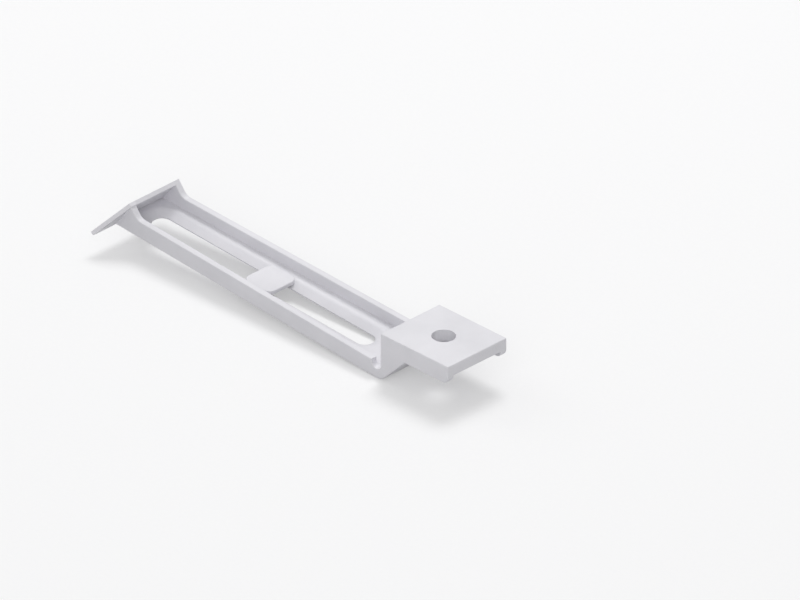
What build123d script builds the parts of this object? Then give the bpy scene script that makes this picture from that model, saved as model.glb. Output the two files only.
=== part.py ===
from build123d import *
from math import cos, radians, sin, tan
import os

# Cable bracket moulded in one piece, for one screw up into the underside of a panel.
# The origin is the centre of the screw hole on the plate's top face, which lies on the panel.
# +Z points into the panel, and the arm runs towards -X, with its centre line on Y = 0.

# Mounting plate: a web with a leg down each side, open at the +X end for the screw's head
plate_length = 19.1
plate_width = 16.7
plate_depth = 4.1
web_thickness = 2.5
leg_thickness = 1.7
leg_end_radius = 1.5
screw_hole_diameter = 5.0
screw_hole_from_riser = 9.6
screw_head_pocket_diameter = 10.0
recess_start_clearance = 0.6

# Arm: a shallow channel that hangs below the plate and rises a little towards its far end
arm_drop = 10.86
arm_rise_angle = 3.38
arm_reach = 72.3
arm_end_width = 14.2
wall_height = 3.76
wall_thickness = 1.56
floor_thickness = 1.36
riser_foot_radius = 0.8

# Flexing corner: a U-shaped notch through both walls, and a bend of even thickness round it
notch_width = 2.6
bend_thickness = 2.2
ramp_angle = 45.0

# Slot along the middle of the floor: its sides are straight for a short land at the underside,
# then slope back and blend into the floor. A thin pad bridges it, and a tie can pass below it.
slot_width = 4.4
slot_end_flat = 0.4
slot_start = 10.75
slot_blade_clearance = 0.12
slot_land = 0.25
slot_rim_angle = 60.0
slot_blend_radius = 2.0
pad_start = 35.85
pad_length = 7.6
pad_width = 8.3
pad_corner_radius = 1.8
pad_thickness = 0.8
pad_raise = 0.4

# Blade across the far end, level with the plate's top face at its upper edge
blade_angle = 52.3
blade_thickness = 0.83
blade_root_radius = 0.4
peak_angle = 52.3
peak_foot_radius = 2.3
lip_height = 1.5
lip_step = 0.2

# Finger wing: the blade carried out past the front wall as a triangle
wing_reach = 6.65
wing_tip_radius = 0.2

# Small radius of the moulded edges
edge_radius = 0.25

# How far a cutting solid runs past the faces that it cuts, and how near counts as the same place
overrun = 2.0
same_place = 0.001

# Places along X that follow from the sizes above
riser_x = -screw_hole_from_riser
plate_end_x = riser_x + plate_length
peak_x = riser_x - arm_reach

rise = tan(radians(arm_rise_angle))
taper = (plate_width - arm_end_width) / 2 / arm_reach


def arm_z(x, height):
    """Height of a line that runs parallel to the arm's underside, height above it."""
    return -arm_drop + height + rise * (riser_x - x)


def half_width(x):
    """Half of the arm's outer width at x."""
    return plate_width / 2 - taper * (riser_x - x)


# Bend: centred on the notch, and tangent to the arm's underside and to the ramp
notch_radius = notch_width / 2
bend_radius = notch_radius + bend_thickness
bend_x = riser_x - notch_radius
bend_z = arm_z(bend_x, bend_radius / cos(radians(arm_rise_angle)))
ramp_start_x = bend_x + bend_radius * sin(radians(ramp_angle))
ramp_start_z = bend_z - bend_radius * cos(radians(ramp_angle))
ramp_end_x = ramp_start_x + (-plate_depth - ramp_start_z) / tan(radians(ramp_angle))
underside_x = bend_x - bend_radius * sin(radians(arm_rise_angle))

# Blade: its outer face falls from the peak, and its lower edge is square to that face
fall_x = cos(radians(blade_angle))
fall_z = sin(radians(blade_angle))
inner_peak_x = peak_x + blade_thickness * fall_z
inner_peak_z = -blade_thickness * fall_x
blade_length = (inner_peak_z - arm_z(inner_peak_x, 0)) / (fall_z + rise * fall_x)

# Wall peaks: the top edge of each wall climbs from the arm to the blade's upper edge
peak_slope = tan(radians(peak_angle))
peak_foot_x = peak_x - arm_z(peak_x, wall_height) / (peak_slope - rise)


def blade_point(down, inwards):
    """X and Z of a point on the blade, down from its upper edge and inwards from its face."""
    return (
        peak_x - down * fall_x + inwards * fall_z,
        -down * fall_z - inwards * fall_x,
    )


# Inner face of the blade below its lip, down to the floor of the channel
hollow_depth = blade_thickness - lip_step
hollow_start_x, hollow_start_z = blade_point(0, hollow_depth)
hollow_run = (hollow_start_z - arm_z(hollow_start_x, floor_thickness)) / (fall_z + rise * fall_x)
hollow_top = blade_point(lip_height + 2 * lip_step, hollow_depth)
hollow_foot = blade_point(hollow_run, hollow_depth)

# Slot: its sloping sides and their blend end just short of the radius at the blade's root
slot_corner_radius = (slot_width - slot_end_flat) / 2
slope_run = (floor_thickness - slot_land) * tan(radians(slot_rim_angle))
blend_run = slot_blend_radius * tan(radians(90 - slot_rim_angle) / 2)
root_run = blade_root_radius / tan(radians(blade_angle + arm_rise_angle) / 2)
floor_length = (riser_x - hollow_foot[0]) / cos(radians(arm_rise_angle)) - root_run
slot_length = floor_length - slot_blade_clearance - blend_run - slope_run - slot_start


def on_wall(edge, inset):
    """True if an edge lies on one of the bracket's two side faces, drawn in by inset."""
    ends = edge.vertices()
    gaps = [abs(end.Y) + inset - half_width(min(end.X, riser_x)) for end in ends]
    return ends[0].Y * ends[-1].Y > 0 and max(abs(gap) for gap in gaps) < same_place


def is_side_edge(edge):
    """True for the side faces' outlines, without the faint crease where the taper starts."""
    middle = edge.center()
    is_crease = abs(middle.X - riser_x) < same_place and middle.Z < bend_z
    return on_wall(edge, 0) and not is_crease


def is_plate_end(edge):
    """True for the two edges across the plate's top face."""
    middle = edge.center()
    return abs(middle.Z) < same_place and middle.X > bend_x


def is_wall_top(edge):
    """True for the inner top edges of the arm's walls, up to the blade."""
    middle = edge.center()
    is_top = middle.Z > arm_z(middle.X, wall_height) - edge_radius
    return on_wall(edge, wall_thickness) and is_top and middle.X > inner_peak_x


def is_leg_edge(edge):
    """True for the lower inner edges of the two legs."""
    middle = edge.center()
    inside = abs(abs(middle.Y) + leg_thickness - plate_width / 2) < same_place
    return inside and abs(middle.Z + plate_depth) < same_place


def side_outline():
    """Outline of the bracket seen from the side, with sharp corners and without its notch."""
    Polyline(
        (underside_x, arm_z(underside_x, 0)),
        blade_point(blade_length, blade_thickness),
        blade_point(blade_length, 0),
        (peak_x, 0),
        (peak_foot_x, arm_z(peak_foot_x, wall_height)),
        (riser_x, arm_z(riser_x, wall_height)),
        (riser_x, 0),
        (plate_end_x, 0),
        (plate_end_x, -plate_depth),
        (ramp_end_x, -plate_depth),
        (ramp_start_x, ramp_start_z),
    )
    CenterArc((bend_x, bend_z), bend_radius, ramp_angle - 90, -ramp_angle - arm_rise_angle)


def plan_outline(inset, start_x, end_x):
    """Outline of the arm seen from above, drawn in from its sides by inset."""
    return Polyline(
        (start_x, half_width(start_x) - inset),
        (end_x, half_width(end_x) - inset),
        (end_x, inset - half_width(end_x)),
        (start_x, inset - half_width(start_x)),
        close=True,
    )


lowest_z = -arm_drop - overrun
full_height = arm_drop + 2 * overrun

# Space inside the channel, between the walls and from the riser to the blade
with BuildPart() as channel:
    with BuildSketch(Plane.XZ) as channel_profile:
        with BuildLine():
            Polyline(
                (riser_x, arm_z(riser_x, floor_thickness)),
                (riser_x, overrun),
                blade_point(-overrun, blade_thickness),
                blade_point(lip_height, blade_thickness),
                hollow_top,
                hollow_foot,
                close=True,
            )
        make_face()
        riser_foot = channel_profile.vertices().sort_by(Axis.Y)[0]
        blade_root = channel_profile.vertices().sort_by(Axis.X)[0]
        fillet(riser_foot, riser_foot_radius)
        fillet(blade_root, blade_root_radius)
    extrude(amount=plate_width, both=True)
    with BuildSketch(Plane.XY.offset(lowest_z)):
        with BuildLine():
            plan_outline(wall_thickness, riser_x, peak_x - arm_drop)
        make_face()
    extrude(amount=full_height, mode=Mode.INTERSECT)

# Planes that lie on the arm's underside, with x along the arm from the riser, and on the blade
arm_plane = Plane(
    origin=(riser_x, 0, arm_z(riser_x, 0)),
    x_dir=(-cos(radians(arm_rise_angle)), 0, sin(radians(arm_rise_angle))),
    z_dir=(sin(radians(arm_rise_angle)), 0, cos(radians(arm_rise_angle))),
)
blade_plane = Plane(origin=(peak_x, 0, 0), x_dir=(0, 1, 0), z_dir=(fall_z, 0, -fall_x))
across_arm = Axis(arm_plane.origin, arm_plane.z_dir)

# Pad, with its upper edge rounded
with BuildPart() as pad:
    with BuildSketch(arm_plane.offset(floor_thickness + pad_raise)):
        with Locations((pad_start + pad_length / 2, 0)):
            RectangleRounded(pad_length, pad_width, pad_corner_radius)
    extrude(amount=-pad_thickness)
    fillet(pad.faces().sort_by(across_arm)[-1].edges(), edge_radius)

with BuildPart() as cable_bracket:
    # Body: the side profile, narrowed to the plate and the tapering arm
    with BuildSketch(Plane.XZ) as profile:
        with BuildLine():
            side_outline()
        make_face()
        peak_feet = profile.vertices().group_by(lambda v: abs(v.X - peak_foot_x))[0]
        fillet(peak_feet, peak_foot_radius)
        leg_ends = profile.vertices().group_by(Axis.X)[-1].sort_by(Axis.Y)
        fillet(leg_ends[0], leg_end_radius)
    extrude(amount=plate_width, both=True)
    with BuildSketch(Plane.XY.offset(lowest_z)):
        with BuildLine():
            plan_outline(0, riser_x, peak_x - arm_drop)
        make_face()
        with Locations(((riser_x + plate_end_x) / 2, 0)):
            Rectangle(plate_length, plate_width)
    extrude(amount=full_height, mode=Mode.INTERSECT)

    # Finger wing, on the blade's plane past the front wall
    with BuildSketch(blade_plane) as wing:
        with BuildLine():
            Polyline(
                (-half_width(peak_x) + wall_thickness, 0),
                (-half_width(peak_x), 0),
                (-half_width(peak_x) - wing_reach, -blade_length),
                (-half_width(peak_x) + wall_thickness, -blade_length),
                close=True,
            )
        make_face()
        fillet(wing.vertices().sort_by(Axis.X)[0], wing_tip_radius)
    extrude(amount=blade_thickness)

    # Notches that part the walls from the riser, then the rounded edges of the outline
    with BuildSketch(Plane.XZ):
        with Locations((bend_x, bend_z)):
            Circle(notch_radius)
        with Locations((bend_x, bend_z + full_height / 2)):
            Rectangle(notch_width, full_height)
    extrude(amount=plate_width, both=True, mode=Mode.SUBTRACT)
    side_edges = cable_bracket.edges().filter_by(is_side_edge)
    plate_ends = cable_bracket.edges().filter_by(Axis.Y).filter_by(is_plate_end)
    fillet(side_edges + plate_ends, edge_radius)

    # Channel between the walls
    add(channel.part, mode=Mode.SUBTRACT)
    fillet(cable_bracket.edges().filter_by(is_wall_top), edge_radius)

    # Slot through the floor: the straight land, and above it the sloping sides
    for level, cut_taper in ((0, 0), (slot_land, -slot_rim_angle)):
        with BuildSketch(arm_plane.offset(level)):
            with Locations((slot_start + slot_length / 2, 0)):
                RectangleRounded(slot_length, slot_width, slot_corner_radius)
        extrude(amount=floor_thickness - level, taper=cut_taper, mode=Mode.SUBTRACT)
    fillet(cable_bracket.edges(Select.LAST).group_by(across_arm)[-1], slot_blend_radius)

    # Pad that bridges the slot
    add(pad.part)

    # Screw hole through the web, and below it the recess and the round pocket for the screw's head
    with Locations((0, 0, 0)):
        Hole(screw_hole_diameter / 2)
    recess_start_x = ramp_end_x + recess_start_clearance
    recess_length = plate_end_x + overrun - recess_start_x
    with BuildSketch(Plane.XY.offset(-web_thickness)):
        with Locations((recess_start_x + recess_length / 2, 0)):
            Rectangle(recess_length, plate_width - 2 * leg_thickness)
        Circle(screw_head_pocket_diameter / 2)
    extrude(amount=-full_height, mode=Mode.SUBTRACT)
    fillet(cable_bracket.edges().filter_by(Axis.X).filter_by(is_leg_edge), edge_radius)

cable_bracket.part.label = "cable_bracket"
os.makedirs("parts", exist_ok=True)
export_step(cable_bracket.part, "parts/cable_bracket.step")
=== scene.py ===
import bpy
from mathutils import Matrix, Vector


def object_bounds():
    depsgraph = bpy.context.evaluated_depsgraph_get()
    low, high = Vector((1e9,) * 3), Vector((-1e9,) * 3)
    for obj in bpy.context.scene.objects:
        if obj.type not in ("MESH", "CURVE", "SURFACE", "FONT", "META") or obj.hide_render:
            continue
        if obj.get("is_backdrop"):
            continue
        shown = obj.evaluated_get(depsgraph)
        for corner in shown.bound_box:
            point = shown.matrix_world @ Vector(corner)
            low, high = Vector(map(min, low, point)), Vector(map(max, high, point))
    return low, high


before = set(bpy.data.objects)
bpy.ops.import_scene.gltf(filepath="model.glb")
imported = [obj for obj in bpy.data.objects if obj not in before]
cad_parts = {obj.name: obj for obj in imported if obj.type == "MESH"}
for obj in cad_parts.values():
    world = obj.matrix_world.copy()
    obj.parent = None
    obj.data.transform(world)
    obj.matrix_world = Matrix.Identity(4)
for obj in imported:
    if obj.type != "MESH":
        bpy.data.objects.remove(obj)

"""Dresses the moulded cable bracket and sets it on a pale studio floor.

Lengths are in metres, in the bracket's own frame: the origin is the centre of the screw
hole on the mounting plate's top face, +Z points into the panel, and the arm runs to -X.
"""

import logging
import math
from dataclasses import dataclass
from enum import Enum

import bpy
from mathutils import Vector

LOG = logging.getLogger("cable_bracket")
MM = 0.001

# Width of a column and height of a row in the node editor
COLUMN_STEP = 220
ROW_STEP = 240

Colour = tuple[float, float, float]


class LampRole(Enum):
    """What each studio lamp is there for."""

    KEY = "key_softbox"
    FILL = "fill_softbox"
    BACK = "back_softbox"


def add_node(tree: bpy.types.NodeTree, kind: str, place: tuple[int, int], **values: object) -> bpy.types.Node:
    """Adds a shader node and sets its properties.

    Args:
        tree: The node tree that gets the node.
        kind: Blender's name for the node type.
        place: Column and row in the node editor, for a tidy layout.
        **values: Properties of the node itself, by name.

    Returns:
        The new node.
    """
    node = tree.nodes.new(kind)
    node.location = (place[0] * COLUMN_STEP, -place[1] * ROW_STEP)
    for name, value in values.items():
        setattr(node, name, value)
    return node


def set_inputs(node: bpy.types.Node, **values: object) -> None:
    """Sets a node's input sockets, with underscores in the names standing for spaces.

    Args:
        node: The node whose sockets are set.
        **values: Socket values by name.
    """
    for name, value in values.items():
        node.inputs[name.replace("_", " ")].default_value = value


@dataclass(frozen=True)
class MouldedPlastic:
    """Light grey moulded plastic with an even spark-eroded grain.

    The colour drifts a little between two close greys, the grain is a fine relief over a
    faint ripple, and the sheen changes slightly from place to place.
    """

    name: str = "light_grey_moulding"
    pale: Colour = (0.765, 0.758, 0.795)
    deep: Colour = (0.705, 0.700, 0.735)
    drift_size: float = 14 * MM
    drift_low: float = 0.35
    drift_high: float = 0.65
    drift_layers: float = 3.0
    grain_size: float = 0.26 * MM
    grain_height: float = 0.034 * MM
    ripple_size: float = 3.5 * MM
    ripple_height: float = 0.026 * MM
    ripple_layers: float = 1.0
    grain_layers: float = 2.0
    patch_layers: float = 2.0
    layer_roughness: float = 0.55
    roughness_low: float = 0.40
    roughness_high: float = 0.52
    ior: float = 1.49

    def build(self) -> bpy.types.Material:
        """Makes the material.

        Returns:
            The finished material.
        """
        material = bpy.data.materials.new(self.name)
        material.use_nodes = True
        tree = material.node_tree
        tree.nodes.clear()
        output = add_node(tree, "ShaderNodeOutputMaterial", (6, 0))
        shader = add_node(tree, "ShaderNodeBsdfPrincipled", (5, 0))
        set_inputs(shader, IOR=self.ior)
        tree.links.new(shader.outputs["BSDF"], output.inputs["Surface"])
        place = add_node(tree, "ShaderNodeTexCoord", (0, 1))
        self._colour(tree, place, shader)
        self._sheen(tree, place, shader)
        self._relief(tree, place, shader)
        return material

    def _noise(
        self, tree: bpy.types.NodeTree, place: bpy.types.Node, size: float, layers: float, row: int
    ) -> bpy.types.Node:
        """Adds a noise pattern in the bracket's own coordinates.

        Args:
            tree: The material's node tree.
            place: The texture coordinate node.
            size: Size of one blob of the pattern, in metres.
            layers: How many finer layers the pattern has.
            row: Row in the node editor.

        Returns:
            The noise node.
        """
        noise = add_node(tree, "ShaderNodeTexNoise", (1, row))
        set_inputs(noise, Scale=1 / size, Detail=layers, Roughness=self.layer_roughness)
        tree.links.new(place.outputs["Object"], noise.inputs["Vector"])
        return noise

    def _colour(self, tree: bpy.types.NodeTree, place: bpy.types.Node, shader: bpy.types.Node) -> None:
        """Drives the base colour by a slow drift between two close greys.

        Args:
            tree: The material's node tree.
            place: The texture coordinate node.
            shader: The surface shader.
        """
        drift = self._noise(tree, place, self.drift_size, self.drift_layers, 0)
        ramp = add_node(tree, "ShaderNodeValToRGB", (3, 0))
        ramp.color_ramp.elements[0].position = self.drift_low
        ramp.color_ramp.elements[1].position = self.drift_high
        ramp.color_ramp.elements[0].color = (*self.deep, 1.0)
        ramp.color_ramp.elements[1].color = (*self.pale, 1.0)
        tree.links.new(drift.outputs["Fac"], ramp.inputs["Fac"])
        tree.links.new(ramp.outputs["Color"], shader.inputs["Base Color"])

    def _sheen(self, tree: bpy.types.NodeTree, place: bpy.types.Node, shader: bpy.types.Node) -> None:
        """Varies the roughness between its two limits, in patches of the ripple's size.

        Args:
            tree: The material's node tree.
            place: The texture coordinate node.
            shader: The surface shader.
        """
        patches = self._noise(tree, place, self.ripple_size, self.patch_layers, 1)
        spread = add_node(tree, "ShaderNodeMapRange", (3, 1))
        set_inputs(spread, To_Min=self.roughness_low, To_Max=self.roughness_high)
        tree.links.new(patches.outputs["Fac"], spread.inputs["Value"])
        tree.links.new(spread.outputs["Result"], shader.inputs["Roughness"])

    def _relief(self, tree: bpy.types.NodeTree, place: bpy.types.Node, shader: bpy.types.Node) -> None:
        """Adds the fine grain and the faint ripple below it as relief.

        Args:
            tree: The material's node tree.
            place: The texture coordinate node.
            shader: The surface shader.
        """
        ripple = self._noise(tree, place, self.ripple_size, self.ripple_layers, 2)
        ripple_bump = add_node(tree, "ShaderNodeBump", (3, 2))
        set_inputs(ripple_bump, Strength=1.0, Distance=self.ripple_height)
        tree.links.new(ripple.outputs["Fac"], ripple_bump.inputs["Height"])
        grain = self._noise(tree, place, self.grain_size, self.grain_layers, 3)
        grain_bump = add_node(tree, "ShaderNodeBump", (4, 2))
        set_inputs(grain_bump, Strength=1.0, Distance=self.grain_height)
        tree.links.new(grain.outputs["Fac"], grain_bump.inputs["Height"])
        tree.links.new(ripple_bump.outputs["Normal"], grain_bump.inputs["Normal"])
        tree.links.new(grain_bump.outputs["Normal"], shader.inputs["Normal"])


@dataclass(frozen=True)
class StudioPaper:
    """Matt paper that keeps the bracket's shadow and looks nearly white.

    Its own grey is lifted by a plain glow that only the camera and glossy faces see, so
    it throws no more light on the bracket.
    """

    name: str = "studio_paper"
    tone: Colour = (0.62, 0.62, 0.625)
    fleck: Colour = (0.60, 0.60, 0.605)
    fleck_size: float = 0.9 * MM
    fleck_layers: float = 3.0
    lift: float = 0.32

    def build(self) -> bpy.types.Material:
        """Makes the material.

        Returns:
            The finished material.
        """
        material = bpy.data.materials.new(self.name)
        material.use_nodes = True
        tree = material.node_tree
        tree.nodes.clear()
        output = add_node(tree, "ShaderNodeOutputMaterial", (5, 0))
        paper = add_node(tree, "ShaderNodeBsdfDiffuse", (3, 0))
        glow = add_node(tree, "ShaderNodeEmission", (3, 1))
        both = add_node(tree, "ShaderNodeAddShader", (4, 0))
        seen = add_node(tree, "ShaderNodeLightPath", (0, 1))
        lifted = add_node(tree, "ShaderNodeMath", (1, 1), operation="MAXIMUM")
        strength = add_node(tree, "ShaderNodeMath", (2, 1), operation="MULTIPLY")
        strength.inputs[1].default_value = self.lift
        tree.links.new(seen.outputs["Is Camera Ray"], lifted.inputs[0])
        tree.links.new(seen.outputs["Is Glossy Ray"], lifted.inputs[1])
        tree.links.new(lifted.outputs["Value"], strength.inputs[0])
        tree.links.new(strength.outputs["Value"], glow.inputs["Strength"])
        place = add_node(tree, "ShaderNodeTexCoord", (0, 0))
        fibres = add_node(tree, "ShaderNodeTexNoise", (1, 0))
        set_inputs(fibres, Scale=1 / self.fleck_size, Detail=self.fleck_layers)
        shade = add_node(tree, "ShaderNodeMix", (2, 0), data_type="RGBA")
        shade.inputs["A"].default_value = (*self.fleck, 1.0)
        shade.inputs["B"].default_value = (*self.tone, 1.0)
        tree.links.new(place.outputs["Object"], fibres.inputs["Vector"])
        tree.links.new(fibres.outputs["Fac"], shade.inputs["Factor"])
        tree.links.new(shade.outputs["Result"], paper.inputs["Color"])
        tree.links.new(paper.outputs["BSDF"], both.inputs[0])
        tree.links.new(glow.outputs["Emission"], both.inputs[1])
        tree.links.new(both.outputs["Shader"], output.inputs["Surface"])
        return material


@dataclass
class Bracket:
    """The one-piece bracket: plate, riser, channel arm, blade and finger wing."""

    node: str = "cable_bracket"

    def dress(self, finish: MouldedPlastic) -> bpy.types.Object:
        """Gives the bracket its finish. Its rounded edges are those of its solid.

        Args:
            finish: The plastic that it is moulded in.

        Returns:
            The bracket's object.
        """
        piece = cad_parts[self.node]
        piece.data.materials.clear()
        piece.data.materials.append(finish.build())
        return piece


@dataclass(frozen=True)
class Softbox:
    """A square soft lamp: where it stands seen from the bracket, its power and its side."""

    role: LampRole
    direction: tuple[float, float, float]
    power: float
    side: float

    def hang(self, centre: Vector, distance: float) -> None:
        """Hangs the lamp so that it faces the bracket.

        Args:
            centre: Middle of the bracket.
            distance: How far from there the lamp stands.
        """
        data = bpy.data.lights.new(self.role.value, "AREA")
        data.shape = "SQUARE"
        data.size = self.side
        data.energy = self.power
        lamp = bpy.data.objects.new(self.role.value, data)
        away = Vector(self.direction).normalized()
        lamp.location = centre + away * distance
        lamp.rotation_mode = "QUATERNION"
        lamp.rotation_quaternion = away.to_track_quat("Z", "Y")
        bpy.context.scene.collection.objects.link(lamp)


@dataclass
class Studio:
    """Floor, world light and three soft lamps round the bracket."""

    floor_side: float = 6.0
    world_tone: Colour = (1.0, 1.0, 1.0)
    world_strength: float = 0.50
    seen_strength: float = 0.96
    lamp_distance: float = 1.20
    lamps: tuple[Softbox, ...] = (
        Softbox(LampRole.KEY, direction=(-0.30, 0.55, 1.10), power=6.6, side=0.50),
        Softbox(LampRole.FILL, direction=(0.65, -0.90, 0.60), power=3.8, side=0.90),
        Softbox(LampRole.BACK, direction=(-0.90, -0.20, 0.55), power=1.1, side=0.60),
    )

    def build(self, centre: Vector, floor_height: float, paper: StudioPaper) -> None:
        """Builds the floor, the world and the lamps.

        Args:
            centre: Middle of the bracket.
            floor_height: Height of the bracket's lowest point.
            paper: Finish of the floor.
        """
        self._floor(centre, floor_height, paper)
        self._world()
        for lamp in self.lamps:
            lamp.hang(centre, self.lamp_distance)

    def _floor(self, centre: Vector, floor_height: float, paper: StudioPaper) -> None:
        """Lays a large flat floor under the bracket.

        Args:
            centre: Middle of the bracket.
            floor_height: Height of the floor's top face.
            paper: Finish of the floor.
        """
        half = self.floor_side / 2
        corners = [(-half, -half, 0.0), (half, -half, 0.0), (half, half, 0.0), (-half, half, 0.0)]
        mesh = bpy.data.meshes.new("studio_floor")
        mesh.from_pydata(corners, [], [(0, 1, 2, 3)])
        floor = bpy.data.objects.new("studio_floor", mesh)
        floor.location = (centre.x, centre.y, floor_height)
        mesh.materials.append(paper.build())
        bpy.context.scene.collection.objects.link(floor)
        floor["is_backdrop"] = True

    def _world(self) -> None:
        """Sets an even white world, which the camera sees in about the paper's tone."""
        world = bpy.data.worlds.new("studio_air")
        world.use_nodes = True
        tree = world.node_tree
        tree.nodes.clear()
        output = add_node(tree, "ShaderNodeOutputWorld", (3, 0))
        light = add_node(tree, "ShaderNodeBackground", (2, 0))
        set_inputs(light, Color=(*self.world_tone, 1.0))
        seen = add_node(tree, "ShaderNodeLightPath", (0, 0))
        level = add_node(tree, "ShaderNodeMapRange", (1, 0))
        set_inputs(level, To_Min=self.world_strength, To_Max=self.seen_strength)
        tree.links.new(seen.outputs["Is Camera Ray"], level.inputs["Value"])
        tree.links.new(level.outputs["Result"], light.inputs["Strength"])
        tree.links.new(light.outputs["Background"], output.inputs["Surface"])
        bpy.context.scene.world = world


@dataclass
class DrawingCamera:
    """Parallel camera that stands where the drawing was seen from.

    The drawing is a 2:1 parallel view. The aim is the point of the plate's top plane that
    lies in the picture's middle.
    """

    azimuth: float = math.radians(45)
    elevation: float = math.radians(30)
    pixels_across: int = 800
    pixel_size: float = 0.2 * MM
    aim: tuple[float, float, float] = (-16.32 * MM, 3.95 * MM, 0.0)
    distance: float = 1.0
    nearest: float = 0.01
    farthest: float = 20.0

    def build(self) -> None:
        """Makes the camera and sets it as the scene's."""
        data = bpy.data.cameras.new("drawing_camera")
        data.type = "ORTHO"
        data.ortho_scale = self.pixels_across * self.pixel_size
        data.clip_start = self.nearest
        data.clip_end = self.farthest
        camera = bpy.data.objects.new("drawing_camera", data)
        flat = math.cos(self.elevation)
        back = Vector(
            (math.sin(self.azimuth) * flat, -math.cos(self.azimuth) * flat, math.sin(self.elevation))
        )
        camera.location = Vector(self.aim) + back * self.distance
        camera.rotation_mode = "QUATERNION"
        camera.rotation_quaternion = (-back).to_track_quat("-Z", "Y")
        bpy.context.scene.collection.objects.link(camera)
        bpy.context.scene.camera = camera


def main() -> None:
    """Builds the camera, the bracket and the studio, and reports each piece."""
    logging.basicConfig(level=logging.INFO, format="%(name)s: %(message)s")
    cad_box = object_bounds()
    lowest, highest = cad_box
    bpy.context.scene.view_settings.view_transform = "Standard"
    DrawingCamera().build()
    piece = Bracket().dress(MouldedPlastic())
    LOG.info("dressed %s", piece.name)
    Studio().build((lowest + highest) / 2, lowest.z, StudioPaper())
    LOG.info("studio stands round the bracket")


if __name__ == "__main__":
    main()
